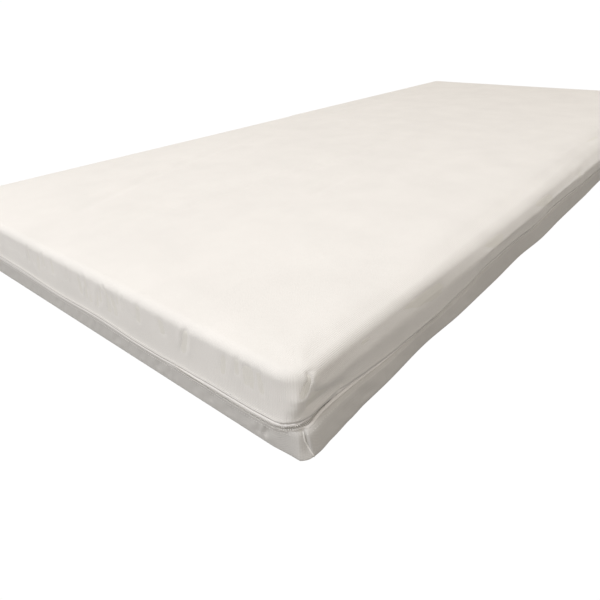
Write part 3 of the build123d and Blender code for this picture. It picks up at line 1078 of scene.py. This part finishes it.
class MATTRESS_OT_zip_ends(MattressOperator, bpy.types.Operator):
    """Finish the zip's end stops and the cloth tab that covers them"""

    bl_idname = "mattress.zip_ends"
    bl_label = "Zip ends"

    def make(self):
        paint = coil_paint("stop_plastic", toned(slot_colour("zip_coil"), 0.96))
        put_paint(frame["nodes"]["zip_end_stops"], paint)
        low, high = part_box("zip_end_tab")
        bm = bmesh.new()
        bmesh.ops.create_cube(bm, size=1)
        bmesh.ops.scale(bm, verts=bm.verts, vec=high - low)
        bmesh.ops.translate(bm, verts=bm.verts, vec=(high + low) / 2)
        upright = [e for e in bm.edges if abs((e.verts[0].co - e.verts[1].co).normalized().x) > 0.9]
        bmesh.ops.bevel(
            bm, geom=upright, offset=2.5 * MM, segments=4, profile=0.5, affect="EDGES", material=-1,
        )
        rims = [e for e in bm.edges if e.calc_face_angle(0) > 0.6]
        bmesh.ops.bevel(bm, geom=rims, offset=0.35 * MM, segments=2, profile=0.5, affect="EDGES", material=-1)
        layer = bm.loops.layers.uv.new("cloth")
        for face in bm.faces:
            for loop in face.loops:
                loop[layer].uv = (loop.vert.co.y, loop.vert.co.z)
        tab = to_object(bm, "zip_end_cloth_tab")
        # The tab takes the base cloth's colour, painted shade included.
        cloth = weave_paint("tab_cloth", colours().base, 1.2 * MM)
        finish_piece(tab, cloth, stands_for=["zip_end_tab"])


class MATTRESS_OT_sliders(MattressOperator, bpy.types.Operator):
    """Give both sliders and their pulls their enamel"""

    bl_idname = "mattress.sliders"
    bl_label = "Sliders"

    def make(self):
        paint = enamel_paint("slider_enamel", slot_colour("slider_metal"))
        for node in ("head_slider_body", "head_slider_pull", "foot_slider_body", "foot_slider_pull"):
            put_paint(frame["nodes"][node], paint)


DART_RADIUS = 0.9 * MM


class MATTRESS_OT_corner_seams(MattressOperator, bpy.types.Operator):
    """Make the raised dart seams at the base cover's corners and the seam tapes in the top cover's"""

    bl_idname = "mattress.corner_seams"
    bl_label = "Corner seams"

    def make(self):
        paint = cord_paint("seam_cloth", toned(slot_colour("seam_tape"), 1.08))
        piece = self.darts("base_corner_darts", bpy.data.objects["base_cover_cloth"])
        finish_piece(piece, paint, stands_for=["base_corner_seams"])
        tapes = carry("top_corner_tapes", "top_corner_seams")
        settle_piece(tapes)
        push_in(tapes, 1.2 * MM)
        finish_piece(tapes, paint, stands_for=["top_corner_seams"])

    def darts(self, name, cover):
        tree = surface_of(cover)
        bm = bmesh.new()
        for sign_x, sign_y in CORNERS:
            path = []
            for height in np.linspace(30 * MM, 1.5 * MM, 16):
                turn = float(np.interp(height, DART_HEIGHTS, DART_PLACES)) / CORNER_RADIUS + 0.05
                out = Vector((sign_x * math.cos(turn), sign_y * math.sin(turn), 0))
                centre = Vector((sign_x * CENTRE_X, sign_y * CENTRE_Y, height))
                spot = outer_face(tree, centre + out * 80 * MM, -out)
                if spot is not None:
                    path.append(spot + out * 0.3 * MM)
            if len(path) < 8:
                raise RuntimeError("the base cover has no corner to sew a dart on")
            add_tube(bm, path, DART_RADIUS, 8)
        bmesh.ops.recalc_face_normals(bm, faces=bm.faces)
        return to_object(bm, name)


def surface_of(piece):
    """The piece as it finally is, for finding places on its outer face."""
    bpy.context.view_layer.update()
    return BVHTree.FromObject(piece, bpy.context.evaluated_depsgraph_get())


def outer_face(tree, start, direction):
    """Where the cloth is first met from start, or None past its edge."""
    return tree.ray_cast(start, direction)[0]


def add_tube(bm, path, radius, sides):
    """A closed tube along a few points, thinner towards its ends."""
    rings = []
    for k, place in enumerate(path):
        before, after = path[max(k - 1, 0)], path[min(k + 1, len(path) - 1)]
        turn = (after - before).to_track_quat("Z", "Y").to_matrix().to_4x4()
        share = k / (len(path) - 1)
        thickness = radius * (0.45 + 0.55 * math.sin(math.pi * min(max(share, 0.04), 0.96)) ** 0.5)
        made = bmesh.ops.create_circle(
            bm, cap_ends=k in (0, len(path) - 1), segments=sides, radius=thickness,
            matrix=Matrix.Translation(place) @ turn,
        )
        rings.append(made["verts"])
    for low, high in zip(rings, rings[1:]):
        edges = {e for v in low + high for e in v.link_edges}
        keep = [e for e in edges if set(e.verts) <= set(low) or set(e.verts) <= set(high)]
        bmesh.ops.bridge_loops(bm, edges=keep)


def carry(name, node):
    """A merged copy of a CAD node's mesh, its flat faces made whole again."""
    bm = bmesh.new()
    bm.from_mesh(frame["nodes"][node].data)
    bmesh.ops.remove_doubles(bm, verts=bm.verts, dist=5e-6)
    bmesh.ops.dissolve_limit(bm, angle_limit=0.01, verts=bm.verts, edges=bm.edges)
    return to_object(bm, name, smooth=False)


STITCH_PITCH = 3.6 * MM
STITCH_HALF_SIZE = (1.3 * MM, 0.24 * MM, 0.26 * MM)


class MATTRESS_OT_stitching(MattressOperator, bpy.types.Operator):
    """Sew the row of stitches above the flap's piping and the one below the base cover's"""

    bl_idname = "mattress.stitching"
    bl_label = "Stitching"

    def make(self):
        paint = cord_paint("sewing_thread", toned(colours().knit, 0.98))
        rows = (
            ("flap_hem_stitches", "top_cover_knit", TOP_HEM + 3.6 * MM, True),
            ("base_hem_stitches", "base_cover_cloth", BASE_HEM - 3.0 * MM, False),
        )
        for name, cover, height, flap in rows:
            flat = loop_path(-1 * MM, 8 * MM)
            path = np.concatenate([flat, np.full((len(flat), 1), height)], 1)
            _, _, along = wall(path)
            path = settle(path)
            if flap:
                path = drop_flap(path, along)
            tree = surface_of(bpy.data.objects[cover])
            _, outward, _ = wall(path)
            snapped = []
            for place, out in zip(path, outward):
                away = Vector((*out, 0))
                spot = outer_face(tree, Vector(place) + away * 40 * MM, -away)
                if spot is None:
                    raise RuntimeError("no cloth to sew " + name + " to")
                snapped.append(spot + away * 0.08 * MM)
            piece = run_along(self.one_stitch(name), name, np.array(snapped), STITCH_PITCH)
            finish_piece(piece, paint)

    def one_stitch(self, name):
        bm = bmesh.new()
        bmesh.ops.create_icosphere(bm, subdivisions=1, radius=1)
        bmesh.ops.scale(bm, verts=bm.verts, vec=STITCH_HALF_SIZE)
        return to_object(bm, name)


# --- inside ---------------------------------------------------------------------------------------

WALL_INSETS = (3 * MM, 7 * MM, 12 * MM, 18 * MM, 25 * MM, 33 * MM)
WALL_HEIGHTS = tuple(z * MM for z in (8, 16, 24, 32, 40, 52, 62, 72, 80, 86, 91, 95))


def cut_up(piece, step):
    """Cuts a carried-over mesh near the walls, finely enough to settle with the cover."""
    bm = bmesh.new()
    bm.from_mesh(piece.data)
    halves = tuple(enumerate((HALF_LENGTH, HALF_WIDTH)))
    planes = [
        (axis, sign * (half - inset)) for inset in WALL_INSETS for sign in (-1, 1) for axis, half in halves
    ]
    planes += [(2, height) for height in WALL_HEIGHTS]
    for axis, half in halves:
        planes += [(axis, place) for place in np.arange(step - half, half, step)]
    for axis, place in planes:
        normal = Vector([float(k == axis) for k in range(3)])
        geometry = bm.verts[:] + bm.edges[:] + bm.faces[:]
        bmesh.ops.bisect_plane(bm, geom=geometry, plane_co=normal * place, plane_no=normal, dist=1e-6)
    bm.to_mesh(piece.data)
    bm.free()


class MATTRESS_OT_liner(MattressOperator, bpy.types.Operator):
    """Make the fire-barrier liner sleeve that wraps the foam"""

    bl_idname = "mattress.liner"
    bl_label = "Liner"

    def make(self):
        piece = carry("liner_knit_sleeve", "liner_sleeve")
        cut_up(piece, 50 * MM)
        settle_piece(piece)
        points = get_points(piece.data)
        _, normal, _ = wall(points)
        cloth_uv(piece.data, points[:, :2], normal, HEIGHT - points[:, 2])
        finish_piece(piece, knit_paint("liner_knit", slot_colour("liner_knit"), 2.0 * MM),
                     stands_for=["liner_sleeve"])


class MATTRESS_OT_foam(MattressOperator, bpy.types.Operator):
    """Make the foam core: the slab, the four bolsters and the three castellated zones"""

    bl_idname = "mattress.foam"
    bl_label = "Foam core"

    def make(self):
        paints = {
            slot: foam_paint(slot + "_cells", slot_colour(slot), cell * MM)
            for slot, cell in (
                ("foam_firm", 1.6), ("foam_edge", 1.4), ("foam_head", 1.2), ("foam_torso", 1.2),
                ("foam_heel", 1.0),
            )
        }
        blocks = (
            ("slab_foam", "foam_base_slab", "foam_firm", True),
            ("left_bolster_foam", "side_bolster_left", "foam_edge", True),
            ("right_bolster_foam", "side_bolster_right", "foam_edge", True),
            ("head_bolster_foam", "head_bolster", "foam_edge", True),
            ("foot_bolster_foam", "foot_bolster", "foam_edge", True),
            ("head_zone_foam", "head_zone_cells", "foam_head", False),
            ("torso_zone_foam", "torso_zone_cells", "foam_torso", False),
            ("heel_zone_foam", "heel_zone_cells", "foam_heel", False),
        )
        for name, node, slot, at_wall in blocks:
            piece = carry(name, node)
            if at_wall:
                cut_up(piece, 60 * MM)
                settle_piece(piece)
            soften = piece.modifiers.new("Cut edge", "BEVEL")
            soften.width = 0.8 * MM
            soften.segments = 2
            soften.limit_method = "ANGLE"
            soften.angle_limit = math.radians(50)
            finish_piece(piece, paints[slot], stands_for=[node])


# --- stage ----------------------------------------------------------------------------------------


# The camera's focal length in millimetres, its place, and its yaw, downward pitch and roll in degrees
CAMERA_LENS = 30.118
CAMERA_PLACE = (-1.2561, -0.6821, 0.3831)
CAMERA_TURN = (41.345, 29.831, 2.011)
# Strength of the plain white that the camera sees behind the mattress
WHITE = 1.02


def show_to_camera(tree, seen, unseen, output):
    """Gives the camera one shader, and everything that the light bounces off the other."""
    path = tree.nodes.new("ShaderNodeLightPath")
    mix = tree.nodes.new("ShaderNodeMixShader")
    tree.links.new(path.outputs["Is Camera Ray"], mix.inputs[0])
    tree.links.new(unseen.outputs[0], mix.inputs[1])
    tree.links.new(seen.outputs[0], mix.inputs[2])
    tree.links.new(mix.outputs[0], output.inputs["Surface"])


class MATTRESS_OT_stage(MattressOperator, bpy.types.Operator):
    """Set the floor, the studio light and the camera"""

    bl_idname = "mattress.stage"
    bl_label = "Stage"

    def make(self):
        self.camera()
        self.floor()
        self.light()

    def camera(self):
        data = bpy.data.cameras.new("camera")
        data.lens = CAMERA_LENS
        data.sensor_width = 36.0
        camera = bpy.data.objects.new("camera", data)
        bpy.context.scene.collection.objects.link(camera)
        yaw, pitch, roll = (math.radians(angle) for angle in CAMERA_TURN)
        turn = Matrix.Rotation(yaw - math.pi / 2, 4, "Z") @ Matrix.Rotation(math.pi / 2 - pitch, 4, "X")
        place = Matrix.Translation(CAMERA_PLACE)
        camera.matrix_world = place @ turn @ Matrix.Rotation(-roll, 4, "Z")
        bpy.context.scene.camera = camera

    def floor(self):
        bm = bmesh.new()
        bmesh.ops.create_grid(bm, x_segments=8, y_segments=8, size=14)
        bmesh.ops.translate(bm, verts=bm.verts, vec=(0, 0, -0.2 * MM))
        floor = to_object(bm, "floor")
        paint = Paint("floor_paper", (0.2, 0.2, 0.2), 0.9)
        tree = paint.tree
        glow = paint.add("ShaderNodeEmission", {"Color": (1, 1, 1, 1), "Strength": WHITE})
        show_to_camera(tree, glow, paint.shader, tree.nodes["Material Output"])
        floor.data.materials.append(paint.material)

    def light(self):
        scene = bpy.context.scene
        scene.view_settings.view_transform = "Standard"
        world = bpy.data.worlds.new("studio")
        world.use_nodes = True
        scene.world = world
        nodes = world.node_tree.nodes
        soft = nodes["Background"]
        soft.inputs["Color"].default_value = (1.0, 0.928, 0.85, 1)
        soft.inputs["Strength"].default_value = 0.69
        white = nodes.new("ShaderNodeBackground")
        white.inputs["Color"].default_value = (1, 1, 1, 1)
        white.inputs["Strength"].default_value = WHITE
        show_to_camera(world.node_tree, white, soft, nodes["World Output"])
        data = bpy.data.lights.new("key", "AREA")
        data.shape = "DISK"
        data.size = 2.2
        data.energy = 93.0
        data.color = (1.0, 1.02, 1.08)
        key = bpy.data.objects.new("key", data)
        scene.collection.objects.link(key)
        place, aim = Vector((-3.3, 0.35, 3.87)), Vector((-0.9, -0.2, 0.1))
        turn = (place - aim).to_track_quat("Z", "Y").to_matrix().to_4x4()
        key.matrix_world = Matrix.Translation(place) @ turn


class MATTRESS_PT_panel(bpy.types.Panel):
    """Lists the mattress's sizes, colours and pieces"""

    bl_idname = "MATTRESS_PT_panel"
    bl_label = "Pressure relief mattress"
    bl_space_type = "VIEW_3D"
    bl_region_type = "UI"
    bl_category = "Mattress"

    def draw(self, context):
        layout = self.layout
        for group in (context.scene.mattress_sizes, context.scene.mattress_colours):
            box = layout.box()
            for key in group.__annotations__:
                box.prop(group, key)
        for operator in OPERATORS:
            layout.operator(operator.bl_idname)


OPERATORS = (
    MATTRESS_OT_stage,
    MATTRESS_OT_top_cover,
    MATTRESS_OT_base_cover,
    MATTRESS_OT_piping,
    MATTRESS_OT_zip_tapes,
    MATTRESS_OT_zip_coils,
    MATTRESS_OT_zip_ends,
    MATTRESS_OT_sliders,
    MATTRESS_OT_corner_seams,
    MATTRESS_OT_stitching,
    MATTRESS_OT_liner,
    MATTRESS_OT_foam,
)
CLASSES = (MattressSizes, MattressColours, *OPERATORS, MATTRESS_PT_panel)


def register():
    for item in CLASSES:
        bpy.utils.register_class(item)
    bpy.types.Scene.mattress_sizes = bpy.props.PointerProperty(type=MattressSizes)
    bpy.types.Scene.mattress_colours = bpy.props.PointerProperty(type=MattressColours)


def unregister():
    del bpy.types.Scene.mattress_colours
    del bpy.types.Scene.mattress_sizes
    for item in reversed(CLASSES):
        bpy.utils.unregister_class(item)


def main():
    register()
    for operator in OPERATORS:
        group, name = operator.bl_idname.split(".")
        getattr(getattr(bpy.ops, group), name)()


if __name__ == "__main__":
    main()
